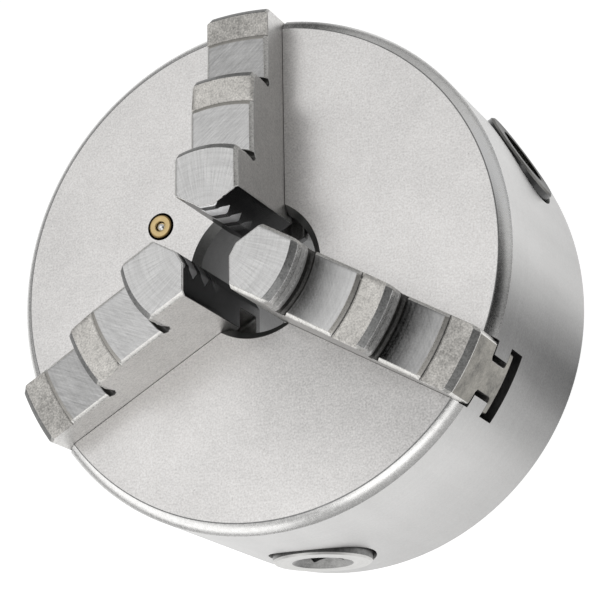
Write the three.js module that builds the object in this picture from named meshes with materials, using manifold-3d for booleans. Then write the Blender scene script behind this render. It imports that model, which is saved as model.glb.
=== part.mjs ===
// Three-jaw self-centring lathe chuck, 125 mm, with scroll plate, bevel pinions and solid stepped jaws.
// Millimetres. +Z runs along the spindle axis towards the jaws; the origin is the centre of the back face.
import * as THREE from 'three';
import { mergeVertices } from 'three/addons/utils/BufferGeometryUtils.js';
import Module from 'manifold-3d';

const wasm = await Module();
wasm.setup();

// ---------------------------------------------------------------- driving dimensions

const TURN = 2 * Math.PI;
const JAW_ANGLES = [90, 210, 330];
const PINION_ANGLES = [270, 30, 150];
const OILER_ANGLE = 150;

// Clearance between neighbouring pieces, and how far a cutter runs past the surface that it opens.
const GAP = 0.3;
const OVERCUT = 1;

// Facets of the smaller round shapes.
const facets = { jawSteps: 72, oiler: 18, pilot: 16, screw: 12, smallHole: 8 };

const body = {
  radius: 62.5,
  length: 58,
  boreRadius: 15,
  boreMouth: { radius: 16.8, depth: 1.8 },
  rimRound: { radial: 2.5, axial: 2.2, steps: 2 },
  backChamfer: 1,
  register: { radius: 47.5, depth: 4 },
  cavityRadius: 47,
  frontWall: 13.8,
  hubRadius: 24,
  sides: 60,
};

const boltHoles = { circleRadius: 54, radius: 3.4, depth: 16, chamfer: 0.8, drillPoint: 1.7 };

const cover = { back: 4, thickness: 4, radius: 46.6 };

// The T-slot, as half widths and depths below the front face.
const slot = { topHalf: 8.25, shoulder: 4.3, railHalf: 5, railFoot: 12.7, footHalf: 8.5, floor: 20 };

// A jaw's heights are above the front face; radii are from the spindle axis with the jaws at rest.
const jaw = {
  half: 8,
  shoulder: -4,
  neckHalf: 3.6,
  footTop: -13,
  footHalf: 7.4,
  footBottom: -15.2,
  toothBottom: -18.5,
  noseTip: 7.5,
  noseTipHalf: 1.66,
  noseTop: 26,
  landOne: 17.5,
  landTwo: 9,
  roughDrop: 0.8,
  stepOne: 22.5,
  stepTwo: 43.1,
  groundOne: 34.6,
  groundTwo: 54,
  outerEnd: 62.4,
  edgeChamfer: 1.3,
  endCorner: 0.8,
  roughLead: 0.8,
  undercut: { height: 4.2, inwards: 1.1, depth: 1.6, outwards: 1 },
};

// The spiral of the scroll plate; its radius grows with the angle about +Z.
const scroll = {
  boreRadius: 24.35,
  radius: 46.5,
  pitch: 6,
  grooveAtZero: 24,
  ridgeFirst: 26,
  ridgeLast: 45,
  ridgeHalf: 1.3,
  ridgeTop: 42.5,
  rootTop: 39.1,
  hubBottom: 28,
  hubRadius: 31.6,
  rimBottom: 33.4,
  ridgeSunk: 0.5,
  stepsPerTurn: 40,
  sides: 40,
};

// Jaw teeth fit the spiral groove at every radius: the outer flank is rounder than any turn of the
// groove, and the inner flank is flatter.
const jawTooth = {
  width: 2.7,
  innerFlank: 48,
  outerFlank: 22,
  lean: 0.028,
  first: 13.5,
  last: 57.5,
  sunk: 0.4,
  steps: 4,
};

// Bevel gearing. All tooth edges run to the point where the pinion axes cross the spindle axis.
const gear = {
  apexZ: 20.5,
  scrollTeeth: 48,
  pinionTeeth: 12,
  inner: 33,
  outer: 43,
  addendum: 1.05,
  dedendum: 1.5,
  rootSunk: 0.3,
  scrollTipWidth: 1.3,
  scrollRootWidth: 3.3,
  shoulder: 0.6,
  pinionTipWidth: 1.4,
  pinionRootWidth: 3.1,
};

const pinion = {
  journalRadius: 12,
  boreClearance: 0.35,
  boreMouth: { depth: 2.8, reach: 3, flare: 2.4 },
  journalStart: 43.6,
  journalChamfer: 0.5,
  toothOverrun: 0.2,
  face: 63.3,
  faceChamfer: 0.5,
  groove: { radius: 10.4, at: 54, half: 2.6 },
  bossRadius: 6,
  bossEnd: 24.6,
  pilotRadius: 3.7,
  pilotEnd: 18.2,
  pilotClearance: 0.35,
  pilotEndGap: 0.4,
  square: 8,
  socketDepth: 16,
  countersink: { radius: 7.4, depth: 2 },
  sides: 24,
};

const retainingScrew = {
  radius: 3,
  dogRadius: 2,
  bottom: 0.8,
  shoulder: 7.2,
  tip: 9.6,
  chamfer: 0.4,
  slot: { width: 1.2, depth: 1.5 },
};

// M4 low-head cap screws.
const coverScrew = {
  circleRadius: 19.5,
  count: 6,
  radius: 2,
  length: 13,
  headRadius: 3.5,
  headHeight: 2.8,
  headSunk: 0.2,
  headChamfer: 0.3,
  tipChamfer: 0.5,
  clearance: 0.35,
  hex: { acrossFlats: 2.5, depth: 1.6 },
};

const oiler = {
  circleRadius: 28.3,
  radius: 2.9,
  clearance: 0.45,
  top: 57.8,
  bottom: 49.8,
  mouth: 1.25,
  lip: 0.5,
  chamber: 1.9,
  outlet: 0.8,
  floor: 0.8,
  chamfer: 0.2,
  throat: 0.8,
  duct: 1.2,
  ballRadius: 1.55,
  ballDepth: 1.85,
  ballFacets: { around: 12, rings: 8 },
  spring: { coilRadius: 1.3, wireRadius: 0.22, turns: 4, endGap: 0.1, squeeze: 0.05, steps: 10, sides: 4 },
};

// ---------------------------------------------------------------- solids

const WELD = 1e-4;

function signedVolume(positions, triangles) {
  const [a, b, c] = [new THREE.Vector3(), new THREE.Vector3(), new THREE.Vector3()];
  let volume = 0;
  for (let i = 0; i < triangles.length; i += 3) {
    a.fromArray(positions, 3 * triangles[i]);
    b.fromArray(positions, 3 * triangles[i + 1]);
    c.fromArray(positions, 3 * triangles[i + 2]);
    volume += a.dot(b.cross(c)) / 6;
  }
  return volume;
}

// Turns a closed geometry into a solid: welds it, drops flat triangles and faces it outwards.
function solid(geometry) {
  const bare = new THREE.BufferGeometry();
  bare.setAttribute('position', geometry.getAttribute('position').clone());
  bare.setIndex(geometry.getIndex());
  const welded = mergeVertices(bare, WELD);
  const positions = welded.getAttribute('position').array;
  const index = welded.getIndex().array;
  const triangles = [];
  for (let i = 0; i < index.length; i += 3) {
    const [a, b, c] = [index[i], index[i + 1], index[i + 2]];
    if (a !== b && b !== c && c !== a) {
      triangles.push(a, b, c);
    }
  }
  if (signedVolume(positions, triangles) < 0) {
    triangles.reverse();
  }
  return new wasm.Manifold(new wasm.Mesh({
    numProp: 3,
    vertProperties: Float32Array.from(positions),
    triVerts: Uint32Array.from(triangles),
  }));
}

function union(first, ...others) {
  return others.reduce((whole, other) => whole.add(other), first);
}

function cut(first, ...others) {
  return others.reduce((whole, other) => whole.subtract(other), first);
}

function geometryOf(manifold) {
  const mesh = manifold.getMesh();
  const geometry = new THREE.BufferGeometry();
  geometry.setAttribute('position', new THREE.BufferAttribute(Float32Array.from(mesh.vertProperties), 3));
  geometry.setIndex(new THREE.BufferAttribute(Uint32Array.from(mesh.triVerts), 1));
  geometry.computeVertexNormals();
  return geometry;
}

// A profile of [radius, z] points turned about Z. It starts and ends on the axis or closes on itself.
function turned(profile, sides) {
  const points = profile.map(([radius, z]) => new THREE.Vector2(radius, z));
  const geometry = new THREE.LatheGeometry(points, sides);
  geometry.rotateX(Math.PI / 2);
  return geometry;
}

function ring(profile, sides) {
  return turned([...profile, profile[0]], sides);
}

// Circular rod along Z from z0 to z1, by default centred on the axis.
function rod(radius, z0, z1, sides, x = 0, y = 0) {
  const geometry = turned([[0, z0], [radius, z0], [radius, z1], [0, z1]], sides);
  geometry.translate(x, y, 0);
  return geometry;
}

// An outline of [x, y] points raised from z0 to z1.
function prism(outline, z0, z1) {
  const shape = new THREE.Shape(outline.map(([x, y]) => new THREE.Vector2(x, y)));
  const geometry = new THREE.ExtrudeGeometry(shape, { depth: z1 - z0, bevelEnabled: false });
  geometry.translate(0, 0, z0);
  return geometry;
}

// A mirrored cross-section of [halfWidth, z] points, run along +X from x0 to x1.
function bar(halfSection, x0, x1) {
  const left = halfSection.map(([half, z]) => [half, z]);
  const right = halfSection.map(([half, z]) => [-half, z]).reverse();
  const geometry = prism([...left, ...right], x0, x1);
  // The outline's x becomes Y, its y becomes Z, and the extrusion runs along X.
  geometry.applyMatrix4(new THREE.Matrix4().makeBasis(
    new THREE.Vector3(0, 1, 0),
    new THREE.Vector3(0, 0, 1),
    new THREE.Vector3(1, 0, 0),
  ));
  return geometry;
}

// A closed skin through a row of sections with the same number of points.
function sweep(sections) {
  const sides = sections[0].length;
  const last = (sections.length - 1) * sides;
  const index = [];
  for (let i = 0; i + 1 < sections.length; i += 1) {
    for (let j = 0; j < sides; j += 1) {
      const a = i * sides + j;
      const b = i * sides + ((j + 1) % sides);
      index.push(a, b, b + sides, a, b + sides, a + sides);
    }
  }
  for (let j = 1; j + 1 < sides; j += 1) {
    index.push(0, j + 1, j, last, last + j, last + j + 1);
  }
  const geometry = new THREE.BufferGeometry();
  geometry.setAttribute('position', new THREE.Float32BufferAttribute(
    sections.flat().flatMap((point) => point.toArray()),
    3,
  ));
  geometry.setIndex(index);
  return geometry;
}

function radians(degrees) {
  return (degrees * Math.PI) / 180;
}

function aroundZ(geometry, degrees) {
  return geometry.clone().rotateZ(radians(degrees));
}

// Turns a geometry made about Z so that its axis is +X at the height of the pinions.
function alongPinionAxis(geometry) {
  geometry.rotateY(Math.PI / 2);
  geometry.translate(0, 0, gear.apexZ);
  return geometry;
}

// ---------------------------------------------------------------- materials

function metal(color, roughness, metalness = 0.9) {
  return new THREE.MeshStandardMaterial({ color, roughness, metalness, flatShading: true });
}

const materials = {
  groundBody: metal(0xbdbbb8, 0.42),
  groundJaw: metal(0xb4b2ae, 0.35),
  turnedSteel: metal(0x9c9b99, 0.4),
  darkSteel: metal(0x4a4a4c, 0.5),
  brass: metal(0xc9a24f, 0.3),
  springSteel: metal(0x8d8f92, 0.35),
  ballSteel: metal(0xd9dadb, 0.12),
};

function piece(name, geometry, material, degrees = 0) {
  const mesh = new THREE.Mesh(geometry, material);
  mesh.name = name;
  mesh.rotation.z = radians(degrees);
  return mesh;
}

// ---------------------------------------------------------------- body

function bodyBlank() {
  const { radius, length, rimRound, backChamfer, register, cavityRadius, hubRadius, boreMouth } = body;
  const rim = [];
  for (let i = 0; i <= rimRound.steps; i += 1) {
    const angle = ((i / rimRound.steps) * Math.PI) / 2;
    rim.push([
      radius - rimRound.radial * (1 - Math.cos(angle)),
      length - rimRound.axial * (1 - Math.sin(angle)),
    ]);
  }
  const wallBack = length - body.frontWall;
  const hubEnd = cover.back + cover.thickness + GAP;
  return ring([
    [radius - backChamfer, 0],
    [radius, backChamfer],
    ...rim,
    [boreMouth.radius, length],
    [body.boreRadius, length - boreMouth.depth],
    [body.boreRadius, hubEnd],
    [hubRadius, hubEnd],
    [hubRadius, wallBack],
    [cavityRadius, wallBack],
    [cavityRadius, register.depth],
    [register.radius, register.depth],
    [register.radius, 0],
  ], body.sides);
}

function jawSlotCutter() {
  const top = body.length;
  return bar([
    [slot.footHalf, top - slot.floor],
    [slot.footHalf, top - slot.railFoot],
    [slot.railHalf, top - slot.railFoot],
    [slot.railHalf, top - slot.shoulder],
    [slot.topHalf, top - slot.shoulder],
    [slot.topHalf, top + OVERCUT],
  ], 0, body.radius + OVERCUT);
}

function pinionBoreCutter() {
  const { journalRadius, boreClearance, boreMouth } = pinion;
  const radius = journalRadius + boreClearance;
  const start = body.cavityRadius - boreMouth.reach;
  const end = body.radius + boreMouth.reach;
  const bore = turned([
    [0, start],
    [radius, start],
    [radius, body.radius - boreMouth.depth],
    [radius + boreMouth.flare, end],
    [0, end],
  ], pinion.sides);
  return alongPinionAxis(bore);
}

function pilotHoleCutter() {
  const radius = pinion.pilotRadius + pinion.pilotClearance;
  const start = pinion.pilotEnd - pinion.pilotEndGap;
  return alongPinionAxis(rod(radius, start, body.hubRadius + OVERCUT, facets.pilot));
}

function boltHoleCutter() {
  const { radius, depth, chamfer, drillPoint, circleRadius } = boltHoles;
  const geometry = turned([
    [0, -OVERCUT],
    [radius + chamfer + OVERCUT, -OVERCUT],
    [radius, chamfer],
    [radius, depth],
    [0, depth + drillPoint],
  ], facets.screw);
  geometry.translate(circleRadius, 0, 0);
  return geometry;
}

function retainingHoleCutter() {
  const radius = retainingScrew.radius + GAP;
  const end = gear.apexZ - pinion.journalRadius + OVERCUT;
  return rod(radius, -OVERCUT, end, facets.screw, boltHoles.circleRadius);
}

function coverScrewHoleCutter() {
  const { radius, clearance, headHeight, length, circleRadius } = coverScrew;
  const top = cover.back + headHeight + length + OVERCUT;
  return rod(radius + clearance, cover.back, top, facets.smallHole, circleRadius);
}

function oilerHoleCutter() {
  const radius = oiler.radius + oiler.clearance;
  const ductEnd = body.length - body.frontWall - OVERCUT;
  const seat = oiler.bottom - GAP;
  const mouth = body.length + OVERCUT;
  const geometry = turned([
    [0, ductEnd],
    [oiler.duct, ductEnd],
    [oiler.duct, seat],
    [radius, seat],
    [radius, mouth],
    [0, mouth],
  ], facets.oiler);
  geometry.translate(oiler.circleRadius, 0, 0);
  return geometry;
}

function coverScrewAngle(index) {
  return (index * 360) / coverScrew.count;
}

function bodySolid() {
  const cutters = [aroundZ(oilerHoleCutter(), OILER_ANGLE)];
  for (const angle of JAW_ANGLES) {
    cutters.push(aroundZ(jawSlotCutter(), angle), aroundZ(boltHoleCutter(), angle));
  }
  for (const angle of PINION_ANGLES) {
    cutters.push(
      aroundZ(pinionBoreCutter(), angle),
      aroundZ(pilotHoleCutter(), angle),
      aroundZ(retainingHoleCutter(), angle),
    );
  }
  for (let i = 0; i < coverScrew.count; i += 1) {
    cutters.push(aroundZ(coverScrewHoleCutter(), coverScrewAngle(i)));
  }
  return cut(solid(bodyBlank()), ...cutters.map(solid));
}

// ---------------------------------------------------------------- back cover and its screws

function backCoverSolid() {
  const front = cover.back + cover.thickness;
  const disc = ring([
    [body.boreRadius, cover.back],
    [cover.radius, cover.back],
    [cover.radius, front],
    [body.boreRadius, front],
  ], body.sides);
  const { circleRadius, radius, headRadius, headHeight, clearance } = coverScrew;
  const seat = cover.back + headHeight + GAP;
  const headRoom = rod(headRadius + clearance, cover.back - OVERCUT, seat, facets.screw, circleRadius);
  const shankRoom = rod(radius + clearance, cover.back, front + OVERCUT, facets.smallHole, circleRadius);
  const holes = [];
  for (let i = 0; i < coverScrew.count; i += 1) {
    holes.push(aroundZ(headRoom, coverScrewAngle(i)), aroundZ(shankRoom, coverScrewAngle(i)));
  }
  return cut(solid(disc), ...holes.map(solid));
}

function coverScrewGeometry() {
  const { radius, headRadius, headChamfer, tipChamfer, hex } = coverScrew;
  const bottom = cover.back + coverScrew.headSunk;
  const seat = cover.back + coverScrew.headHeight;
  const end = seat + coverScrew.length;
  const screw = turned([
    [0, bottom],
    [headRadius - headChamfer, bottom],
    [headRadius, bottom + headChamfer],
    [headRadius, seat],
    [radius, seat],
    [radius, end - tipChamfer],
    [radius - tipChamfer, end],
    [0, end],
  ], facets.screw);
  const socket = rod(hex.acrossFlats / Math.sqrt(3), bottom - OVERCUT, bottom + hex.depth, 6);
  const geometry = geometryOf(cut(solid(screw), solid(socket)));
  geometry.translate(coverScrew.circleRadius, 0, 0);
  return geometry;
}

// ---------------------------------------------------------------- scroll plate

// Radius of the middle of the spiral groove at an angle in turns about +Z, on its first turn.
function grooveRadius(turns) {
  return scroll.grooveAtZero + scroll.pitch * turns;
}

function spiralRidge() {
  const ridgeAtZero = scroll.grooveAtZero + scroll.pitch / 2;
  const firstTurn = (scroll.ridgeFirst - ridgeAtZero) / scroll.pitch;
  const lastTurn = (scroll.ridgeLast - ridgeAtZero) / scroll.pitch;
  const steps = Math.ceil((lastTurn - firstTurn) * scroll.stepsPerTurn);
  const bottom = scroll.rootTop - scroll.ridgeSunk;
  const sections = [];
  for (let i = 0; i <= steps; i += 1) {
    const turns = firstTurn + ((lastTurn - firstTurn) * i) / steps;
    const middle = ridgeAtZero + scroll.pitch * turns;
    const angle = turns * TURN;
    const at = (radius, z) => new THREE.Vector3(radius * Math.cos(angle), radius * Math.sin(angle), z);
    sections.push([
      at(middle - scroll.ridgeHalf, bottom),
      at(middle + scroll.ridgeHalf, bottom),
      at(middle + scroll.ridgeHalf, scroll.ridgeTop),
      at(middle - scroll.ridgeHalf, scroll.ridgeTop),
    ]);
  }
  return sweep(sections);
}

// Half width of a tooth that is `width` wide at the gear's outer end, as it narrows to the apex.
function toothHalf(width, distance) {
  return (width / 2) * (distance / gear.outer);
}

function scrollPitchHeight(distance) {
  return gear.apexZ + (distance * gear.pinionTeeth) / gear.scrollTeeth;
}

function scrollToothSection(distance) {
  const taper = distance / gear.outer;
  const pitch = scrollPitchHeight(distance);
  const rows = [
    [gear.scrollRootWidth, pitch + (gear.dedendum + gear.rootSunk) * taper],
    [gear.scrollTipWidth, pitch - gear.addendum * taper],
  ];
  const side = (sign) => rows.map(([width, z]) => (
    new THREE.Vector3(distance, sign * toothHalf(width, distance), z)
  ));
  return [...side(1), ...side(-1).reverse()];
}

function scrollPlateSolid() {
  const rootHeight = (distance) => scrollPitchHeight(distance) + (gear.dedendum * distance) / gear.outer;
  const plate = ring([
    [scroll.boreRadius, scroll.hubBottom],
    [scroll.hubRadius, scroll.hubBottom],
    [gear.inner - gear.shoulder, rootHeight(gear.inner)],
    [gear.outer, rootHeight(gear.outer)],
    [gear.outer + gear.shoulder, scroll.rimBottom],
    [scroll.radius, scroll.rimBottom],
    [scroll.radius, scroll.rootTop],
    [scroll.boreRadius, scroll.rootTop],
  ], scroll.sides);
  const tooth = sweep([scrollToothSection(gear.inner), scrollToothSection(gear.outer - GAP)]);
  const pitchAngle = 360 / gear.scrollTeeth;
  const teeth = [];
  for (let i = 0; i < gear.scrollTeeth; i += 1) {
    teeth.push(aroundZ(tooth, (i + 0.5) * pitchAngle));
  }
  return union(solid(plate), solid(spiralRidge()), ...teeth.map(solid));
}

// ---------------------------------------------------------------- pinions

function pinionToothSection(distance) {
  const taper = distance / gear.outer;
  const pitch = scrollPitchHeight(distance) - gear.apexZ;
  const rows = [
    [gear.pinionRootWidth, pitch - (gear.dedendum + gear.rootSunk) * taper],
    [gear.pinionTipWidth, pitch + gear.addendum * taper],
  ];
  const side = (sign) => rows.map(([width, height]) => (
    new THREE.Vector3(height, sign * toothHalf(width, distance), distance)
  ));
  return [...side(1), ...side(-1).reverse()];
}

function squareSocket() {
  const half = pinion.square / 2;
  const corners = [[half, half], [-half, half], [-half, -half], [half, -half]];
  return prism(corners, pinion.face - pinion.socketDepth, pinion.face + OVERCUT);
}

function pinionGeometry() {
  const rootRadius = (distance) => (
    scrollPitchHeight(distance) - gear.apexZ - (gear.dedendum * distance) / gear.outer
  );
  const { journalRadius, journalChamfer, groove, face, faceChamfer, countersink } = pinion;
  const shaft = turned([
    [0, pinion.pilotEnd],
    [pinion.pilotRadius, pinion.pilotEnd],
    [pinion.pilotRadius, pinion.bossEnd],
    [pinion.bossRadius, pinion.bossEnd],
    [pinion.bossRadius, gear.inner],
    [rootRadius(gear.inner), gear.inner],
    [rootRadius(gear.outer), gear.outer],
    [journalRadius - journalChamfer, gear.outer],
    [journalRadius, pinion.journalStart],
    [journalRadius, groove.at - groove.half],
    [groove.radius, groove.at - groove.half],
    [groove.radius, groove.at + groove.half],
    [journalRadius, groove.at + groove.half],
    [journalRadius, face - faceChamfer],
    [journalRadius - faceChamfer, face],
    [0, face],
  ], pinion.sides);
  const toothEnd = gear.outer + pinion.toothOverrun;
  const tooth = sweep([pinionToothSection(gear.inner), pinionToothSection(toothEnd)]);
  const teeth = [];
  for (let i = 0; i < gear.pinionTeeth; i += 1) {
    teeth.push(aroundZ(tooth, (i * 360) / gear.pinionTeeth));
  }
  const mouth = turned([
    [0, face - countersink.depth],
    [pinion.square / 2, face - countersink.depth],
    [countersink.radius, face],
    [countersink.radius, face + OVERCUT],
    [0, face + OVERCUT],
  ], pinion.sides);
  const whole = union(solid(shaft), ...teeth.map(solid));
  return alongPinionAxis(geometryOf(cut(whole, solid(squareSocket()), solid(mouth))));
}

function retainingScrewGeometry() {
  const { radius, dogRadius, bottom, shoulder, tip, chamfer } = retainingScrew;
  const screw = turned([
    [0, bottom],
    [radius - chamfer, bottom],
    [radius, bottom + chamfer],
    [radius, shoulder],
    [dogRadius, shoulder],
    [dogRadius, tip],
    [0, tip],
  ], facets.screw);
  const half = retainingScrew.slot.width / 2;
  const reach = radius + OVERCUT;
  const groove = bar([[half, bottom - OVERCUT], [half, bottom + retainingScrew.slot.depth]], -reach, reach);
  const geometry = geometryOf(cut(solid(screw), solid(groove)));
  geometry.translate(boltHoles.circleRadius, 0, 0);
  return geometry;
}

// ---------------------------------------------------------------- jaws

// The stepped outline in [radius, z]: ground lands, rough lands a little lower, undercut at each step's foot.
function jawSteps() {
  const face = body.length;
  const { noseTop, landOne, landTwo, roughDrop, roughLead, undercut, edgeChamfer } = jaw;
  const bottom = face + jaw.toothBottom - OVERCUT;
  const stepDown = (radius, high, low) => [
    [radius - edgeChamfer, face + high],
    [radius, face + high - edgeChamfer],
    [radius, face + low + undercut.height],
    [radius - undercut.inwards, face + low],
    [radius, face + low - undercut.depth],
    [radius + undercut.outwards, face + low],
  ];
  return turned([
    [0, bottom],
    [jaw.outerEnd, bottom],
    [jaw.outerEnd, face + landTwo - roughDrop - edgeChamfer],
    [jaw.outerEnd - edgeChamfer, face + landTwo - roughDrop],
    [jaw.groundTwo + roughLead, face + landTwo - roughDrop],
    [jaw.groundTwo, face + landTwo],
    ...stepDown(jaw.stepTwo, landOne - roughDrop, landTwo).reverse(),
    [jaw.groundOne + roughLead, face + landOne - roughDrop],
    [jaw.groundOne, face + landOne],
    ...stepDown(jaw.stepOne, noseTop, landOne).reverse(),
    [0, face + noseTop],
  ], facets.jawSteps);
}

// Plan view of the jaw: a 120 degree nose with a narrow flat tip, and an outer end with bevelled corners.
function jawPlan() {
  const half = jaw.half + OVERCUT;
  const flank = (half - jaw.noseTipHalf) / Math.sqrt(3);
  const end = jaw.outerEnd + OVERCUT;
  // The bevel runs at 45 degrees, so the sum of its coordinates is constant.
  const bevelSum = Math.sqrt(jaw.outerEnd ** 2 - jaw.half ** 2) - jaw.endCorner + jaw.half;
  return prism([
    [jaw.noseTip, -jaw.noseTipHalf],
    [jaw.noseTip + flank, -half],
    [bevelSum - half, -half],
    [end, end - bevelSum],
    [end, bevelSum - end],
    [bevelSum - half, half],
    [jaw.noseTip + flank, half],
    [jaw.noseTip, jaw.noseTipHalf],
  ], body.length + jaw.toothBottom - OVERCUT, body.length + jaw.noseTop + OVERCUT);
}

function jawBar() {
  const face = body.length;
  return bar([
    [jaw.footHalf, face + jaw.footBottom],
    [jaw.footHalf, face + jaw.footTop],
    [jaw.neckHalf, face + jaw.footTop],
    [jaw.neckHalf, face + jaw.shoulder],
    [jaw.half, face + jaw.shoulder],
    [jaw.half, face + jaw.noseTop + OVERCUT],
  ], 0, jaw.outerEnd + OVERCUT);
}

function jawToothPrism(middle) {
  const { width, innerFlank, outerFlank, lean, steps } = jawTooth;
  const inner = [];
  const outer = [];
  for (let i = 0; i <= steps; i += 1) {
    const across = jaw.footHalf * ((2 * i) / steps - 1);
    const centre = middle + lean * across;
    inner.push([centre - width / 2 - across ** 2 / (2 * innerFlank), across]);
    outer.push([centre + width / 2 - across ** 2 / (2 * outerFlank), across]);
  }
  const bottom = body.length + jaw.toothBottom;
  return prism([...outer, ...inner.reverse()], bottom, body.length + jaw.footBottom + jawTooth.sunk);
}

// The teeth of each jaw sit where the spiral groove passes under it, a third of a pitch apart.
function jawGeometry(degrees) {
  const teeth = [];
  let middle = grooveRadius(degrees / 360);
  while (middle - scroll.pitch > jawTooth.first) {
    middle -= scroll.pitch;
  }
  for (; middle < jawTooth.last; middle += scroll.pitch) {
    teeth.push(solid(jawToothPrism(middle)));
  }
  const blank = union(solid(jawBar()), ...teeth);
  return geometryOf(blank.intersect(solid(jawSteps())).intersect(solid(jawPlan())));
}

// ---------------------------------------------------------------- oiler

function oilerBodyGeometry() {
  const { radius, top, bottom, mouth, lip, throat, chamber, outlet, floor, chamfer } = oiler;
  const geometry = ring([
    [outlet, bottom],
    [radius, bottom],
    [radius, top - chamfer],
    [radius - chamfer, top],
    [mouth, top],
    [mouth, top - lip],
    [chamber, top - lip - throat],
    [chamber, bottom + floor],
    [outlet, bottom + floor],
  ], facets.oiler);
  geometry.translate(oiler.circleRadius, 0, 0);
  return geometryOf(solid(geometry));
}

function oilerBallHeight() {
  return oiler.top - oiler.ballDepth;
}

function oilerBallGeometry() {
  const { around, rings } = oiler.ballFacets;
  const geometry = new THREE.SphereGeometry(oiler.ballRadius, around, rings);
  geometry.rotateX(Math.PI / 2);
  geometry.translate(oiler.circleRadius, 0, oilerBallHeight());
  return geometryOf(solid(geometry));
}

function oilerSpringGeometry() {
  const { coilRadius, wireRadius, turns, endGap, squeeze, sides } = oiler.spring;
  const low = oiler.bottom + oiler.floor + wireRadius + endGap;
  const high = oilerBallHeight() - oiler.ballRadius - wireRadius + squeeze;
  const steps = turns * oiler.spring.steps;
  const sections = [];
  for (let i = 0; i <= steps; i += 1) {
    const angle = (i / oiler.spring.steps) * TURN;
    const height = low + ((high - low) * i) / steps;
    const section = [];
    for (let j = 0; j < sides; j += 1) {
      const turn = (j / sides) * TURN;
      const radius = coilRadius + wireRadius * Math.cos(turn);
      section.push(new THREE.Vector3(
        oiler.circleRadius + radius * Math.cos(angle),
        radius * Math.sin(angle),
        height + wireRadius * Math.sin(turn),
      ));
    }
    sections.push(section);
  }
  return geometryOf(solid(sweep(sections)));
}

// ---------------------------------------------------------------- assembly

const group = new THREE.Group();
group.add(
  piece('body', geometryOf(bodySolid()), materials.groundBody),
  piece('back_cover', geometryOf(backCoverSolid()), materials.turnedSteel),
  piece('scroll_plate', geometryOf(scrollPlateSolid()), materials.turnedSteel),
);
JAW_ANGLES.forEach((angle, index) => {
  group.add(piece(`jaw_${index + 1}`, jawGeometry(angle), materials.groundJaw, angle));
});
PINION_ANGLES.forEach((angle, index) => {
  group.add(
    piece(`pinion_${index + 1}`, pinionGeometry(), materials.turnedSteel, angle),
    piece(`pinion_retaining_screw_${index + 1}`, retainingScrewGeometry(), materials.darkSteel, angle),
  );
});
for (let i = 0; i < coverScrew.count; i += 1) {
  group.add(piece(`cover_screw_${i + 1}`, coverScrewGeometry(), materials.darkSteel, coverScrewAngle(i)));
}
group.add(
  piece('oiler_body', oilerBodyGeometry(), materials.brass, OILER_ANGLE),
  piece('oiler_ball', oilerBallGeometry(), materials.ballSteel, OILER_ANGLE),
  piece('oiler_spring', oilerSpringGeometry(), materials.springSteel, OILER_ANGLE),
);

export default group;
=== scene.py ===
import math
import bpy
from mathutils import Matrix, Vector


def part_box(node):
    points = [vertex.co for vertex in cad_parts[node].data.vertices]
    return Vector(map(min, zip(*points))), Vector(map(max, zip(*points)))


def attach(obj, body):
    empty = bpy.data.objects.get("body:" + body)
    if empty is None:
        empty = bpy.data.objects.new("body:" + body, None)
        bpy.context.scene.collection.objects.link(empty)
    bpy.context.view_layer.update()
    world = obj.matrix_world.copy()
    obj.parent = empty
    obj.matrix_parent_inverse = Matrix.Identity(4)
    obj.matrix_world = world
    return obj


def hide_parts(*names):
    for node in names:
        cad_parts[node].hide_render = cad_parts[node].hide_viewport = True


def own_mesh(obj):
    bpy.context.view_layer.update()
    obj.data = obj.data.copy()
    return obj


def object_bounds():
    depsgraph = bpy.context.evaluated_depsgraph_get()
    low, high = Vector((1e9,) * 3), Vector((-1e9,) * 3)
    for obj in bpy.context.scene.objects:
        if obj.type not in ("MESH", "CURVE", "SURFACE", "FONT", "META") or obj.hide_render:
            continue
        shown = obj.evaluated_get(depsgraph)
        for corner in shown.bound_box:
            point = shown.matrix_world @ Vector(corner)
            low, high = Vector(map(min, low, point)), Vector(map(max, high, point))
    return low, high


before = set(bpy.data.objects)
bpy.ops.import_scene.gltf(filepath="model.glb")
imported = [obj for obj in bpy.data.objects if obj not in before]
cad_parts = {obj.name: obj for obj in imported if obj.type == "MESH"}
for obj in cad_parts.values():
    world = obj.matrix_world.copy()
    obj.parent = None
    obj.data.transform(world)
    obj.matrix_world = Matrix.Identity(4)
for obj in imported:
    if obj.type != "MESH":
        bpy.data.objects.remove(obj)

from types import SimpleNamespace as Sizes

import bmesh
import bpy
from mathutils import Matrix, Vector

# The looks of a 125 mm three-jaw lathe chuck. Shapes are drawn in millimetres in the CAD model's frame:
# +Z runs along the spindle axis towards the jaws, and the origin is the centre of the back face.
MM = 0.001
cad_low, cad_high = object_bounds()

# ----- driving dimensions

JAW_ANGLES = (90, 210, 330)
PINION_ANGLES = (270, 30, 150)
# The jaw with a painted shadow beside it on the face and painted shade on its lands.
SHADED_JAW = 330
# The jaw whose flanks show dimmer painted glints.
DIM_GLINT_JAW = 210
# The pinion whose finishes are darker copies: painted shade.
SHADED_PINION = 30
OILER_ANGLE = 150

BODY_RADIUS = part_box("body")[1].x / MM
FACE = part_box("body")[1].z / MM
BORE_RADIUS = 15
BORE_MOUTH_RADIUS = 16.8
BORE_MOUTH_DEPTH = 1.8
RIM_RADIAL = 2.7
RIM_AXIAL = 2.4
RIM_BULGE = 0.28
BACK_CHAMFER = 1
REGISTER_RADIUS = 47.5
REGISTER_DEPTH = 4
CAVITY_RADIUS = 47
FRONT_WALL = 13.8
HUB_RADIUS = 24
GAP = 0.3
OVERCUT = 1

STUD_CIRCLE = 54
STUD_HOLE_RADIUS = 3.4
STUD_HOLE_DEPTH = 16

COVER_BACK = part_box("back_cover")[0].z / MM
COVER_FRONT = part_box("back_cover")[1].z / MM
COVER_RADIUS = 46.6

SLOT = Sizes(top=8.25, shoulder=4.3, rail=5, rail_foot=12.7, foot=8.5, floor=20)

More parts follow.
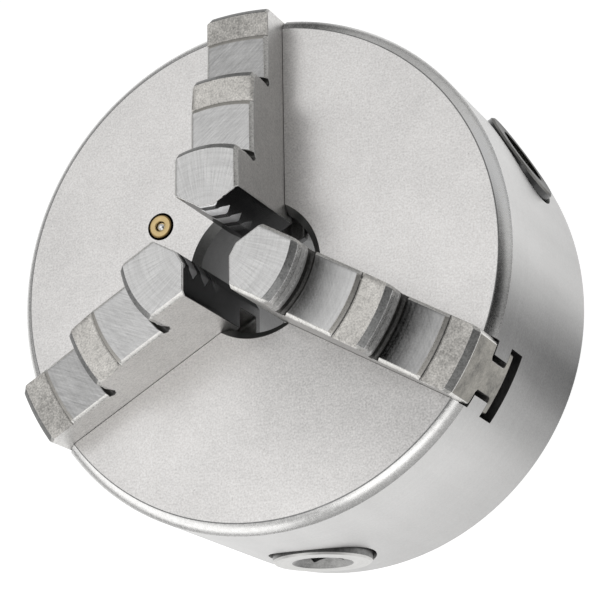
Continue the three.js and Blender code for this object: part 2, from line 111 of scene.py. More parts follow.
# Jaw heights are above the front face, and radii are from the spindle axis.
JAW_HALF = 8
JAW_SHOULDER = -4
JAW_NECK_HALF = 3.6
JAW_FOOT_TOP = -13
JAW_FOOT_HALF = 7.4
JAW_FOOT_BOTTOM = -15.2
JAW_TOOTH_BOTTOM = -18.5
NOSE_TIP = 7.5
NOSE_TIP_HALF = 1.66
NOSE_TOP = 26
LAND_ONE = 17.5
LAND_TWO = 9
ROUGH_DROP = 0.8
STEP_ONE = 22.5
STEP_TWO = 43.1
GROUND_ONE = 34.6
GROUND_TWO = 54
OUTER_END = 62.4
EDGE_CHAMFER = 1.3
EDGE_BREAK = 0.12
END_CHAMFER = 1.4
SIDE_CHAMFER = 0.8
END_TAPER = 0.7
FLANK_SLOPE = 1 / math.sqrt(3)

SCROLL_PITCH = 6
# Painted glints down the nose tip, in millimetres below its top and across from its middle.
NOSE_GLINT = Sizes(first=2.3, fade=2.0, last=20, base=1.3, slope=0.8, crest=1.1, valley=0.3, strength=0.56)
SCRATCH_SLANT = 0.8
GROOVE_AT_ZERO = 24
TOOTH = Sizes(width=2.7, inner=48, outer=22, lean=0.028, first=13.5, last=57.5, sunk=0.4)
SCROLL = Sizes(bore=24.35, radius=46.5, hub_bottom=28, hub_radius=31.6, rim_bottom=33.4, root=39.1)
RIDGE = Sizes(first=26, last=45, half=1.3, top=42.5, sunk=0.5, steps=72)

GEAR_APEX = 20.5
GEAR = Sizes(scroll_teeth=48, pinion_teeth=12, inner=33, outer=43, addendum=1.05, dedendum=1.5, sunk=0.3)
# Widths of a tooth at its root and tip.
SCROLL_TOOTH = (3.3, 1.3)
PINION_TOOTH = (3.1, 1.4)

JOURNAL_RADIUS = 12
JOURNAL_START = 43.6
JOURNAL_FACE = 63.3
JOURNAL_CHAMFER = 0.5
PINION_CLEARANCE = 0.35
PINION_MOUTH = Sizes(depth=2.8, reach=3, flare=2.4)
PINION_GROOVE = Sizes(radius=10.4, at=54, half=2.6)
BOSS_RADIUS = 6
BOSS_END = 24.6
PILOT_RADIUS = 3.7
PILOT_END = 18.2
PILOT_END_GAP = 0.4
PILOT_CHAMFER = 0.4
SQUARE = 8
SOCKET_DEPTH = 16
COUNTERSINK = 7.4
COUNTERSINK_DEPTH = 2

GRUB = Sizes(radius=3, dog=2, bottom=0.8, shoulder=7.2, tip=9.6, slot_half=0.6, slot_depth=1.5)
CAP = Sizes(circle=19.5, count=6, radius=2, length=13, head=3.5, height=2.8, sunk=0.2)
CAP_HEX = Sizes(across_flats=2.5, depth=1.6)
CAP_CLEARANCE = 0.35

OILER = Sizes(
    circle=28.3, radius=2.9, clearance=0.42, top=57.8, bottom=49.8, mouth=1.25, lip=0.5,
    throat=0.8, chamber=1.9, outlet=0.8, floor=0.8, duct=1.2, proud=0.6,
)
BALL_RADIUS = 1.55
BALL_DEPTH = 1.7
BALL_TRAVEL = 1
SPRING = Sizes(coil=1.3, wire=0.22, turns=4, end_gap=0.1, squeeze=0.05, slack=0.12)

# The floor lies just under the chuck, in metres.
FLOOR_GAP = 0.0003

ROUND = 256
SMALL_ROUND = 96
TINY_ROUND = 48
CREASE = math.radians(32)

# ----- shader arithmetic


class Field:
    """A shader node's output as a number that takes ordinary arithmetic."""

    def __init__(self, made, output=0):
        self.tree = made.id_data
        self.socket = made.outputs[output]

    def math(self, operation, other=0.0):
        return node(self.tree, "ShaderNodeMath", {0: self, 1: other}, operation=operation)

    def __add__(self, other):
        return self.math("ADD", other)

    def __sub__(self, other):
        return self.math("SUBTRACT", other)

    def __mul__(self, other):
        return self.math("MULTIPLY", other)

    def __truediv__(self, other):
        return self.math("DIVIDE", other)

    def ramp(self, low, high, start=0.0, end=1.0, shape="SMOOTHSTEP"):
        """Goes from start, where this is under low, to end, where it is over high."""
        inputs = {"Value": self, "From Min": low, "From Max": high, "To Min": start, "To Max": end}
        return node(self.tree, "ShaderNodeMapRange", inputs, clamp=True, interpolation_type=shape)


def feed(tree, socket, value):
    """Gives an input a plain value or a Field."""
    if isinstance(value, Field):
        tree.links.new(value.socket, socket)
    else:
        socket.default_value = value


def fill(tree, values):
    """Sets inputs of a material's shader."""
    for name, value in values.items():
        feed(tree, tree.nodes["Principled BSDF"].inputs[name], value)


def node(tree, kind, inputs=None, output=0, **settings):
    """Adds a shader node and returns one of its outputs; each input is a value or a Field."""
    made = tree.nodes.new(kind)
    for name, value in settings.items():
        setattr(made, name, value)
    for name, value in (inputs or {}).items():
        feed(tree, made.inputs[name], value)
    return Field(made, output)


class Surface:
    """Coordinates on an object, in metres and radians, for the patterns of its finish."""

    def __init__(self, tree):
        self.tree = tree
        place = node(tree, "ShaderNodeTexCoord", output="Object")
        axes = [node(tree, "ShaderNodeSeparateXYZ", {0: place}, axis) for axis in range(3)]
        self.x, self.y, self.z = axes
        self.radius = (self.x.math("POWER", 2.0) + self.y.math("POWER", 2.0)).math("SQRT")
        self.angle = self.y.math("ARCTAN2", self.x)

    def noise(self, parts, detail=4.0, roughness=0.65):
        """Noise over (coordinate, size) pairs, where size is how many metres or radians a feature spans."""
        scaled = {index: part / size for index, (part, size) in enumerate(parts)}
        inputs = {"Vector": node(self.tree, "ShaderNodeCombineXYZ", scaled), "Scale": 1.0}
        inputs.update({"Detail": detail, "Roughness": roughness})
        return node(self.tree, "ShaderNodeTexNoise", inputs)


# ----- patterns


def recipe(pattern):
    """Lets a finish choose a pattern by its sizes before there is a surface to draw it on."""
    return lambda *sizes: lambda surface: pattern(surface, *sizes)


@recipe
def grain(on, size, detail=3.0, roughness=0.55):
    """Even mottling whose features are about size millimetres across."""
    return on.noise([(axis, size * MM) for axis in (on.x, on.y, on.z)], detail, roughness)


@recipe
def brushed(on, along, across, axis="x"):
    """Fine straight scratches of a given length and width, in millimetres."""
    sizes = [(along if name == axis else across) * MM for name in "xyz"]
    return on.noise(list(zip((on.x, on.y, on.z), sizes)))


@recipe
def slanted(on, along, across):
    """Scratches of a given length and width that run askew across a jaw."""
    diagonal = on.x + on.y * SCRATCH_SLANT
    other = on.x * SCRATCH_SLANT - on.y
    return on.noise([(diagonal, across * MM), (other, along * MM), (on.z, along * MM)])


@recipe
def turned(on, pitch, sweep=0.6):
    """Rings about Z, as a lathe tool leaves them, that fade in and out over sweep radians."""
    return on.noise([(on.radius, pitch * MM), (on.angle, sweep), (on.z, pitch * MM)], 4.0, 0.6)


@recipe
def fan(on, spokes, length, centre=0.0):
    """Streaks that spread from a point on the local X axis: scratches, and in a colour a painted streaky
    reflection too.
    """
    angle = on.y.math("ARCTAN2", on.x - centre * MM)
    return on.noise([(angle, 1.0 / spokes), (on.radius, length * MM), (on.z, length * MM)], 4.0, 0.6)


@recipe
def streaks(on, spacing):
    """Bands along Z that change every spacing radians about Z."""
    length = 60 * MM
    return on.noise([(on.angle, spacing), (on.z, length), (on.radius, length)], 3.0, 0.5)


@recipe
def around(on, middle, reach):
    """A soft band along Z: one at an angle about Z in degrees, and a half from reach degrees away."""
    away = (on.angle - math.radians(middle)).math("ABSOLUTE")
    return away.ramp(0.0, math.radians(reach), 1.0, 0.5)


@recipe
def rise(on, coordinate, low, high):
    """Zero where a coordinate is below low millimetres, and one above high."""
    return getattr(on, coordinate).ramp(low * MM, high * MM)


@recipe
def shadow_beside(on, degrees, near, far):
    """A painted soft shadow on the clockwise side of a ray from Z: one at near millimetres off it, a half at
    far.
    """
    ray = math.radians(degrees)
    start = 25 * MM
    off = on.x * math.sin(ray) - on.y * math.cos(ray)
    along = on.x * math.cos(ray) + on.y * math.sin(ray)
    close = off.ramp(near * MM, far * MM, 0.5, 0.0)
    ahead = off.math("GREATER_THAN", 0.0) * along.ramp(0.0, start)
    return close * ahead + 0.5


@recipe
def corner(on, low, high):
    """Painted shade under each step of a jaw: one below low millimetres from the step, and a half above
    high.
    """
    away = (on.radius - STEP_ONE * MM).math("MODULO", (STEP_TWO - STEP_ONE) * MM)
    return away.ramp(low * MM, high * MM, 1.0, 0.5)


@recipe
def nose_glints(on):
    """Painted saw-toothed glints down a nose tip: a half off them, and more on them, fading downwards."""
    across = on.y.math("ABSOLUTE") / MM
    below = (on.z / MM - NOSE_TOP) * -1.0
    tooth = (below - NOSE_GLINT.first).math("PINGPONG", SCROLL_PITCH / 2)
    inside = (tooth * NOSE_GLINT.slope + NOSE_GLINT.base).math("GREATER_THAN", across)
    fade = below.ramp(NOSE_GLINT.fade, NOSE_GLINT.last, NOSE_GLINT.strength, 0.0, "LINEAR")
    level = tooth.math("GREATER_THAN", NOSE_GLINT.crest) * (1 - NOSE_GLINT.valley) + NOSE_GLINT.valley
    return inside * level * fade + 0.5


@recipe
def above(on, pattern, level, softness=0.06):
    """Turns a pattern into spots where it is over a level."""
    return pattern(on).ramp(level, level + softness, shape="LINEAR")


clouds = grain(22, 2.0)
patches = grain(6, 2.0)
mottle = grain(1.6)
fine = grain(0.45, 2.0)
specks = above(grain(0.6, 2.0, 0.7), 0.66)
pits = above(grain(0.8, 2.0, 0.7), 0.70)

# ----- materials

MATERIALS = {}


def blend(surface, value, amounts):
    """A value that each pattern moves up and down by its amount."""
    for pattern, amount in amounts.items():
        value = (pattern(surface) - 0.5) * amount + value
    return value


def metal(key, name, color, roughness, tones, bumps, glosses={fine: 0.2}, dulls={}, metallic=1.0, edge=1.0):
    """Adds a finish whose patterns each have an amount.

    Tones change a share of the colour, glosses the roughness and dulls the metallic value, and bumps have a
    depth in millimetres. The edge is how much of the glancing reflection is left.
    """
    MATERIALS[key] = material = bpy.data.materials.new(name)
    material.use_nodes = True
    tree = material.node_tree
    surface = Surface(tree)
    tint = {0: color, "Scale": blend(surface, 1.0, tones)}
    relief = {"Strength": 1.0}
    for pattern, depth in bumps.items():
        relief.update({"Height": pattern(surface), "Distance": depth * MM})
        relief["Normal"] = node(tree, "ShaderNodeBump", relief)
    fill(tree, {
        "Base Color": node(tree, "ShaderNodeVectorMath", tint, operation="SCALE"),
        "Roughness": blend(surface, roughness, glosses),
        "Metallic": blend(surface, metallic, dulls),
        "Specular Tint": (edge, edge, edge, 1.0),
        "Normal": relief["Normal"],
    })


# The body.
# Painted shadow on the face beside the shaded jaw, and painted shade that darkens it towards -X.
metal(
    "face", "ground_face", (0.735, 0.722, 0.71), 0.37,
    tones={
        clouds: 0.20, patches: 0.12, mottle: 0.26, fine: 0.80, pits: -0.30,
        shadow_beside(SHADED_JAW, JAW_HALF, 48): -0.75, rise("x", -62, 5): 0.06,
    },
    glosses={mottle: 0.10, turned(0.5): 0.08}, bumps={turned(0.30, 1.2): 0.0016, fine: 0.006},
)
# Painted dark reflection bands run down the side at about -20 and -38 degrees; the side is also lighter
# towards the face.
metal(
    "side", "turned_side", (0.52, 0.516, 0.51), 0.36,
    tones={
        clouds: 0.10, turned(0.45, 2.5): 0.10, fine: 0.24, around(-20, 22): -1.6,
        around(-38, 12): -0.34, rise("z", 0, 58): 0.20, streaks(0.10): 0.16,
    },
    glosses={turned(0.6, 2.5): 0.10, mottle: 0.06},
    bumps={turned(0.22, 2.5): 0.0016, fine: 0.001},
)
# Painted dark reflections at about 77 and -15 degrees and a painted highlight about 15 degrees; the fan
# streaks are scratches and a painted streaky reflection.
metal(
    "rim", "rough_turned_rim", (0.68, 0.675, 0.665), 0.27,
    tones={
        fan(70, 8): 0.16, mottle: 0.30, fine: 0.55, specks: -0.2, around(77, 17): -1.6,
        around(-15, 14): -1.1, around(15, 40): 0.9,
    },
    glosses={turned(0.5, 0.5): 0.20, fine: 0.15}, bumps={turned(0.5, 0.25): 0.006, fine: 0.008},
)
# Painted dark reflection: a dark ring along the inner edge of the rim bevel.
metal(
    "rim_inner", "rim_shoulder", (0.30, 0.30, 0.30), 0.42,
    tones={fan(60, 6): 0.7, fine: 0.5}, glosses={fine: 0.3}, bumps={fine: 0.004},
)
bored = {"glosses": {turned(0.4, 2.0): 0.2}, "bumps": {turned(0.35, 2.0): 0.003}}
metal("bore", "dark_bore", (0.12, 0.12, 0.12), 0.30, {mottle: 0.3, fine: 0.3}, **bored)
metal("bore_mouth", "bore_chamfer", (0.22, 0.22, 0.215), 0.42, {mottle: 0.3, fine: 0.4}, **bored)
# Near-black insides of the holes and the cavity; the slot walls are a little lighter.
hollow_mottle = {"tones": {mottle: 0.4, fine: 0.4}, "glosses": {mottle: 0.3}}
metal("pocket", "dark_pocket", (0.06, 0.06, 0.062), 0.5, bumps={fine: 0.004}, **hollow_mottle)
metal("slot_wall", "milled_slot", (0.12, 0.12, 0.12), 0.42, bumps={grain(0.6): 0.006}, **hollow_mottle)
flared = {"tones": {grain(0.9): 0.9, fine: 0.7}, "glosses": {mottle: 0.3}, "bumps": {grain(0.7): 0.02}}
metal("pinion_mouth", "pinion_bore_chamfer", (0.42, 0.42, 0.413), 0.42, **flared)
# A darker copy of the pinion bore chamfer: painted shade at one pinion.
metal("oiled_mouth", "painted_shade_bore_chamfer", (0.10, 0.10, 0.098), 0.36, **flared)

# The jaws. One jaw's lands get painted shade in the corners under each step, and another jaw's flanks show
# dimmer painted glints.
ground = {patches: 0.30, fine: 0.30, turned(0.6, 0.9): 0.40}
# Painted shade: the outer land is darker than the inner one.
shaded_outer_land = rise("radius", 34.5, 43)
# The second land finish has painted shade under each step.
for key, name, own in (
    ("jaw_ground", "ground_jaw_land", {slanted(6, 0.5): 1.0, shaded_outer_land: -0.24}),
    ("jaw_grimy", "painted_shade_jaw_land", {slanted(6, 0.5): 0.35, shaded_outer_land: -0.3, corner(1.2, 12): -1.50}),
):
    metal(
        key, name, (0.545, 0.543, 0.54), 0.34,
        tones={**ground, **own},
        glosses={slanted(5, 0.5): 0.22, fine: 0.08},
        bumps={slanted(6, 0.4): 0.018, turned(0.30, 0.9): 0.004},
    )
# Flanks with painted glints down the nose tip, lighter and less metallic; the second copy has dimmer glints.
for key, name, light, dull in (
    ("jaw_flank", "polished_jaw_flank", 12.0, 1.8),
    ("jaw_flank_faint", "polished_flank_dim_glints", 5.0, 0.4),
):
    metal(
        key, name, (0.21, 0.21, 0.212), 0.20,
        tones={mottle: 0.4, fine: 0.3, nose_glints(): light},
        glosses={brushed(0.8, 6, "z"): 0.12, nose_glints(): 0.5},
        bumps={brushed(0.5, 5, "z"): 0.003},
        dulls={nose_glints(): -dull},
        edge=0.4,
    )
# The fan streaks are scratches and also a painted streaky reflection of the turning marks.
metal(
    "jaw_nose", "ground_jaw_nose", (0.63, 0.627, 0.622), 0.30,
    tones={fan(55, 9, -4): 0.60, turned(0.6, 0.9): 0.40, patches: 0.20, fine: 0.30},
    glosses={fan(40, 7, -4): 0.20, fine: 0.08},
    bumps={turned(0.30, 0.9): 0.004, fan(60, 6, -4): 0.014},
)
metal(
    "jaw_rough", "rough_jaw_land", (0.43, 0.418, 0.397), 0.48,
    tones={patches: 1.1, mottle: 1.1, fine: 2.2, pits: -1.0, rise("radius", 44, 54): -0.30},
    bumps={fine: 0.012, grain(0.8): 0.014},
)
metal("jaw_bevel", "land_bevel", (0.50, 0.485, 0.455), 0.45, {mottle: 0.3, fine: 0.4}, {fine: 0.006})
metal(
    "jaw_side", "satin_jaw_side", (0.575, 0.567, 0.554), 0.40,
    tones={clouds: 0.16, patches: 0.18, mottle: 0.30, fine: 0.80, brushed(14, 0.5): 0.26, specks: -0.30},
    glosses={brushed(10, 0.4): 0.14, fine: 0.1}, bumps={brushed(9, 0.3): 0.004, fine: 0.006},
)
metal(
    "jaw_edge", "milled_jaw_edge", (0.66, 0.65, 0.627), 0.30,
    tones={brushed(1.2, 0.25, "y"): 0.3, mottle: 0.5, fine: 0.9}, bumps={fine: 0.005},
)
# A painted highlight along the nose's top edges: nearly white and barely metallic.
metal(
    "nose_edge", "bright_nose_edge", (0.90, 0.89, 0.87), 0.40,
    tones={mottle: 0.5, fine: 0.6}, bumps={fine: 0.004}, metallic=0.25,
)
metal(
    "jaw_end", "weathered_jaw_end", (0.235, 0.225, 0.202), 0.42,
    tones={patches: 1.8, mottle: 0.9, fine: 1.2}, glosses={patches: 0.2, fine: 0.2},
    bumps={fine: 0.005, grain(0.8): 0.006},
)
metal("jaw_end_bevel", "jaw_end_bevel", (0.27, 0.27, 0.265), 0.42, {mottle: 0.6, fine: 1.4}, {fine: 0.008})
metal(
    "jaw_chamfer", "turned_jaw_chamfer", (0.30, 0.30, 0.297), 0.40,
    tones={mottle: 0.6, fine: 1.4, turned(0.3, 0.5): 0.3}, bumps={fine: 0.008},
)
metal(
    "jaw_wall", "ground_jaw_wall", (0.74, 0.735, 0.725), 0.30,
    tones={grain(0.8): 0.5, fine: 0.5, mottle: 0.3}, glosses={fine: 0.3},
    bumps={grain(0.6): 0.010}, metallic=0.65,
)
# A duller, less metallic band across each step wall.
metal(
    "jaw_band", "dull_wall_band", (0.58, 0.575, 0.565), 0.44,
    tones={grain(0.8): 0.8, fine: 0.9, mottle: 0.4}, glosses={fine: 0.3},
    bumps={grain(0.6): 0.010}, dulls={turned(0.4, 0.8): -0.5}, metallic=0.35,
)
# Painted shade: the relief grooves under the steps and at the ends of the ground lands are dark.
metal(
    "jaw_relief", "dark_jaw_relief", (0.17, 0.167, 0.162), 0.50,
    tones={mottle: 0.8, fine: 1.2}, bumps={grain(0.5): 0.03},
)

# The pinions.
face_gloss = {turned(0.3, 2.0): 0.16, fine: 0.08}
metal(
    "pinion", "turned_pinion_face", (0.56, 0.555, 0.54), 0.34,
    tones={turned(0.4, 2.0): 0.26, mottle: 0.16, fine: 0.16}, glosses=face_gloss,
    bumps={turned(0.3, 2.0): 0.003},
)
# A darker copy of the pinion face: painted shade at one pinion.
metal(
    "oiled_pinion", "painted_shade_pinion_face", (0.20, 0.198, 0.19), 0.30,
    tones={turned(0.4, 2.0): 0.5, mottle: 0.4, fine: 0.3}, glosses=face_gloss,
    bumps={turned(0.3, 2.0): 0.004}, edge=0.45,
)
journal = {"glosses": {mottle: 0.2}, "bumps": {brushed(0.3, 0.6, "z"): 0.006}}
metal("clean_journal", "pinion_journal", (0.19, 0.19, 0.187), 0.32, {grain(1.2): 0.8, fine: 0.8}, **journal)
# A darker copy of the pinion journal: painted shade at one pinion.
metal("journal", "painted_shade_pinion_journal", (0.06, 0.06, 0.06), 0.26, {grain(1.2): 0.8, fine: 0.6}, **journal)
dished = {"glosses": {mottle: 0.2}, "bumps": {grain(0.7): 0.012}}
# Painted shade darkens the countersink at 90 and -90 degrees about the pinion's axis.
metal(
    "countersink", "socket_countersink", (0.29, 0.287, 0.28), 0.34,
    tones={patches: 1.0, mottle: 0.9, fine: 0.7, around(90, 55): -1.3, around(-90, 55): -1.3},
    **dished,
)
# A near-black copy of the countersink: painted shade at one pinion.
metal(
    "oiled_countersink", "oiled_countersink", (0.03, 0.03, 0.028), 0.40,
    tones={patches: 0.8, mottle: 0.8, fine: 0.6}, edge=0.12,
    **dished,
)
# Painted shade: the square socket is dark inside.
metal(
    "socket", "broached_socket", (0.16, 0.16, 0.16), 0.36,
    tones={mottle: 0.5, brushed(6, 0.3, "z"): 0.4}, glosses={mottle: 0.2},
    bumps={brushed(5, 0.25, "z"): 0.004},
)

# The small pieces and the insides.
metal(
    "brass", "oiler_brass", (0.70, 0.53, 0.27), 0.30,
    tones={fine: 0.3, mottle: 0.2}, glosses={turned(0.2, 3.0): 0.16},
    bumps={turned(0.12, 3.0): 0.0015},
)
# Painted shade: a darker copy of the brass on the oiler's bevel and side.
metal("brass_edge", "oiler_brass_edge", (0.30, 0.205, 0.085), 0.34, {fine: 0.4, mottle: 0.3}, {fine: 0.002})
metal("ball", "polished_ball", (0.88, 0.88, 0.87), 0.14, {fine: 0.06}, {fine: 0.0004}, {mottle: 0.06})
metal(
    "gear", "oiled_gear_steel", (0.34, 0.335, 0.325), 0.34,
    tones={mottle: 0.2, turned(0.5, 1.5): 0.14}, glosses={mottle: 0.2},
    bumps={turned(0.3, 1.5): 0.002},
)
metal(
    "cover", "turned_cover", (0.46, 0.455, 0.445), 0.40,
    tones={clouds: 0.1, turned(0.5, 2.0): 0.16, fine: 0.1}, glosses={turned(0.6, 2.0): 0.16},
    bumps={turned(0.4, 2.0): 0.003},
)
metal("screw", "black_oxide_screw", (0.055, 0.055, 0.058), 0.36, {mottle: 0.4, fine: 0.3}, {fine: 0.003})
metal("spring", "spring_wire", (0.50, 0.50, 0.51), 0.28, {fine: 0.2}, {fine: 0.001}, {fine: 0.1})

# ----- mesh building


def add(name, data):
    """A new object in the scene."""
    made = bpy.data.objects.new(name, data)
    bpy.context.scene.collection.objects.link(made)
    return made


def build(name, points, faces, finishes):
    """A mesh object from points in millimetres and faces, each with the name of its finish."""
    mesh = bpy.data.meshes.new(name)
    mesh.from_pydata([Vector(point) * MM for point in points], [], faces)
    used = sorted(set(finishes))
    for finish in used:
        mesh.materials.append(MATERIALS[finish])
    mesh.polygons.foreach_set("material_index", [used.index(finish) for finish in finishes])
    mesh.validate()
    return add(name, mesh)


def polar(radius, angle):
    return radius * math.cos(angle), radius * math.sin(angle)


def lathe(name, profile, finish, sides=ROUND, closed=False):
    """Turns (radius, z) points about Z. A point may add the finish of the stretch that it starts."""
    points, rows, faces, looks = [], [], [], []
    for radius, z, *_ in profile:
        count = 1 if radius == 0 else sides
        rows.append([len(points) + i for i in range(count)])
        points += [(*polar(radius, math.tau * i / sides), z) for i in range(count)]
    for index in range(len(profile) if closed else len(profile) - 1):
        low, high = rows[index], rows[(index + 1) % len(profile)]
        for i in range(sides):
            j = (i + 1) % sides
            face = [low[i % len(low)], low[j % len(low)], high[j % len(high)], high[i % len(high)]]
            face = list(dict.fromkeys(face))
            if len(face) > 2:
                faces.append(face)
                looks.append((*profile[index], finish)[2])
    return outwards(build(name, points, faces, looks))


def loft(name, sections, finish, look=None):
    """A closed skin through sections with as many points each; look(row, column) may vary its finish."""
    count = len(sections[0])
    points = [point for section in sections for point in section]
    faces, looks = [], []
    for row in range(len(sections) - 1):
        for column in range(count):
            a = row * count + column
            b = row * count + (column + 1) % count
            faces.append((a, b, b + count, a + count))
            looks.append(look(row, column) if look else finish)
    last = (len(sections) - 1) * count
    faces += [tuple(range(count)), tuple(range(last, last + count))]
    looks += [finish, finish]
    return outwards(build(name, points, faces, looks))


def outwards(thing):
    """Makes all faces point out of the solid."""
    mesh = bmesh.new()
    mesh.from_mesh(thing.data)
    bmesh.ops.remove_doubles(mesh, verts=mesh.verts, dist=1e-7)
    bmesh.ops.recalc_face_normals(mesh, faces=mesh.faces)
    if mesh.calc_volume(signed=True) < 0:
        bmesh.ops.reverse_faces(mesh, faces=mesh.faces)
    mesh.to_mesh(thing.data)
    mesh.free()
    return thing


def prism(name, outline, z0, z1, finish):
    """An outline of (x, y) points raised from z0 to z1."""
    return loft(name, [[(x, y, z) for x, y in outline] for z in (z0, z1)], finish)


def bar(name, half_section, x0, x1, finish):
    """A mirrored cross-section of (half width, z) points run along X."""
    ring = half_section + [(-half, z) for half, z in reversed(half_section)]
    return loft(name, [[(x, y, z) for y, z in ring] for x in (x0, x1)], finish)


def move(thing, matrix):
    """Moves the mesh itself, in millimetres."""
    scale = Matrix.Scale(MM, 4)
    thing.data.transform(scale @ matrix @ scale.inverted())
    return thing


def turn(degrees, axis="Z"):
    return Matrix.Rotation(math.radians(degrees), 4, axis)


def shift(x=0.0, y=0.0, z=0.0):
    return Matrix.Translation((x, y, z))


def combine(thing, others, operation):
    """Cuts, joins or intersects, and removes the other solids."""
    for other in others:
        slots, old_slots = thing.data.materials, other.data.materials
        for material in old_slots:
            if material.name not in slots:
                slots.append(material)
        new_index = [slots.find(material.name) for material in old_slots]
        indices = [new_index[face.material_index] for face in other.data.polygons]
        old_slots.clear()
        for material in slots:
            old_slots.append(material)
        other.data.polygons.foreach_set("material_index", indices)
        modifier = thing.modifiers.new("solid", "BOOLEAN")
        modifier.operation = operation
        modifier.solver = "MANIFOLD"
        modifier.object = other
        bake(thing)
        discard(other)
    return thing


def bake(thing):
    """Applies the modifiers."""
    evaluated = thing.evaluated_get(bpy.context.evaluated_depsgraph_get())
    final = bpy.data.meshes.new_from_object(evaluated)
    old = thing.data
    thing.modifiers.clear()
    thing.data = final
    bpy.data.meshes.remove(old)


def discard(thing):
    mesh = thing.data
    bpy.data.objects.remove(thing)
    bpy.data.meshes.remove(mesh)


def soften(thing, width=0.0):
    """Breaks the sharp edges by width millimetres and shades the rest smooth."""
    if width:
        bevel = thing.modifiers.new("break", "BEVEL")
        bevel.width = width * MM
        bevel.limit_method = "ANGLE"
        bevel.angle_limit = CREASE
        bevel.use_clamp_overlap = False
        bake(thing)
    thing.data.polygons.foreach_set("use_smooth", [True] * len(thing.data.polygons))
    thing.data.set_sharp_from_angle(angle=CREASE)
    weighted = thing.modifiers.new("weighted", "WEIGHTED_NORMAL")
    weighted.keep_sharp = True
    bake(thing)
    return thing


def fit(thing, body, node_name, place=None):
    """Puts a finished piece in the frame, where it stands for a CAD node."""
    if place is not None:
        matrix = place.copy()
        matrix.translation = matrix.translation * MM
        thing.matrix_world = matrix
    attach(thing, body)
    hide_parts(node_name)
    return thing


def arc(centre, radii, start, end, steps):
    """Points on an ellipse from one angle to another, in degrees."""
    angles = [math.radians(start + (end - start) * i / steps) for i in range(steps + 1)]
    return [(centre[0] + radii[0] * math.cos(a), centre[1] + radii[1] * math.sin(a)) for a in angles]


# ----- body


def rim_profile(steps):
    """The bevel between the side and the face, which bulges a little towards the corner it replaces."""
    start = Vector((BODY_RADIUS, FACE - RIM_AXIAL))
    end = Vector((BODY_RADIUS - RIM_RADIAL, FACE))
    middle = (start + end) / 2
    pull = middle + (Vector((BODY_RADIUS, FACE)) - middle) * RIM_BULGE
    points = []
    for i in range(steps + 1):
        t = i / steps
        points.append(tuple(start * (1 - t) ** 2 + pull * 2 * t * (1 - t) + end * t ** 2))
    return points


def body_blank():
    """The turned casting: side, rounded rim, face, bore, hub and the cavity behind."""
    *rim, shoulder, edge = rim_profile(12)
    wall = FACE - FRONT_WALL
    hub_end = COVER_FRONT + GAP
    profile = [
        (BODY_RADIUS - BACK_CHAMFER, 0),
        (BODY_RADIUS, BACK_CHAMFER),
        *[(*point, "rim") for point in rim],
        (*shoulder, "rim_inner"),
        (*edge, "face"),
        (BORE_MOUTH_RADIUS, FACE, "bore_mouth"),
        (BORE_RADIUS, FACE - BORE_MOUTH_DEPTH, "bore"),
        (BORE_RADIUS, hub_end),
        (HUB_RADIUS, hub_end, "pocket"),
        (HUB_RADIUS, wall, "pocket"),
        (CAVITY_RADIUS, wall, "pocket"),
        (CAVITY_RADIUS, REGISTER_DEPTH),
        (REGISTER_RADIUS, REGISTER_DEPTH),
        (REGISTER_RADIUS, 0),
    ]
    return lathe("machined_body", profile, "side", closed=True)


def jaw_slot():
    """The T-slot, which closes in on the jaw at the face."""
    lip = 0.04
    mouth = JAW_HALF + 0.06
    step_top, step_bottom = 1.1, 1.3
    section = [
        (SLOT.foot, FACE - SLOT.floor), (SLOT.foot, FACE - SLOT.rail_foot),
        (SLOT.rail, FACE - SLOT.rail_foot), (SLOT.rail, FACE - SLOT.shoulder),
        (SLOT.top, FACE - SLOT.shoulder), (SLOT.top, FACE - step_bottom), (mouth, FACE - step_top),
        (mouth, FACE - lip), (mouth + lip + OVERCUT, FACE + OVERCUT),
    ]
    return bar("slot", section, 0, BODY_RADIUS + OVERCUT, "slot_wall")


def pinion_bore(mouth):
    radius = JOURNAL_RADIUS + PINION_CLEARANCE
    start = CAVITY_RADIUS - PINION_MOUTH.reach
    end = BODY_RADIUS + PINION_MOUTH.reach
    flare = BODY_RADIUS - PINION_MOUTH.depth
    widest = radius + PINION_MOUTH.flare
    profile = [(0, start), (radius, start), (radius, flare, mouth), (widest, end), (0, end)]
    return lathe("bore", profile, "pocket", SMALL_ROUND)


def along_pinion():
    """Turns what was drawn about Z onto the pinion axis."""
    return shift(z=GEAR_APEX) @ turn(90, "Y")


def drilled(radius, z0, z1, place, chamfer=0.0):
    """A hole from z0 to z1 with a drill point at z1, and a mouth at z0 that may be chamfered."""
    profile = [(0, z0 - OVERCUT), (radius, z0 - OVERCUT)]
    if chamfer:
        profile[1:] = [(radius + chamfer + OVERCUT, z0 - OVERCUT), (radius, z0 + chamfer)]
    profile += [(radius, z1), (0, z1 + radius * 0.5)]
    return move(lathe("hole", profile, "pocket", TINY_ROUND), place)


def cap_place(index):
    return turn(index * 360 / CAP.count) @ shift(CAP.circle)


